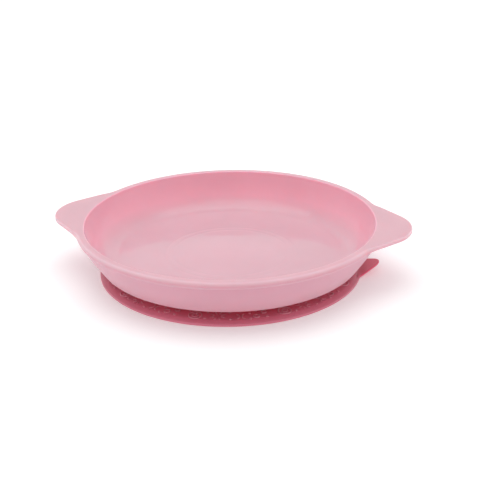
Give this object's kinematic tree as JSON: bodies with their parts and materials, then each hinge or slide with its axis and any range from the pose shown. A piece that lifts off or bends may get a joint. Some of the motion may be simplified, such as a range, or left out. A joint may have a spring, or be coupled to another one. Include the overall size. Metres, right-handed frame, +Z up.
{
  "type": "suction bowl",
  "caption": "Wide shallow silicone feeding bowl with two flat side handles, plugged into a suction base with a release tab.",
  "frame": {"origin": "on the table plane, under the middle of the bowl", "axes": "+X along the handles, towards the side with the release tab; +Z up; +Y across the handles"},
  "size_m": [0.2184, 0.185, 0.0323],
  "materials": {
    "bowl_silicone": "satin light pink silicone",
    "base_silicone": "satin deep pink silicone"
  },
  "bodies": {
    "suction_flange": {"suction_flange": "base_silicone", "cup_neck": "base_silicone"},
    "cup_hub": {"cup_hub": "base_silicone"},
    "bowl": {"bowl": "bowl_silicone"},
    "release_tab": {"release_tab": "base_silicone"}
  },
  "joints": [
    {"name": "suction_press", "type": "slide", "parent": "suction_flange", "child": "cup_hub", "axis": [0, 0, 1], "range_m": [-0.0018, 0], "stiffness_N_per_m": 6000, "deforming": ["cup_neck"]},
    {"name": "bowl_lift_off", "type": "slide", "parent": "cup_hub", "child": "bowl", "axis": [0, 0, 1], "range_m": [0, 0.04]},
    {"name": "release_tab_flex", "type": "hinge", "parent": "suction_flange", "child": "release_tab", "pos_m": [0.07983, 0.00769, 0.00155], "axis": [0.0958, -0.9954, 0], "range_deg": [-15, 50], "stiffness_Nm_per_rad": 0.0025}
  ]
}
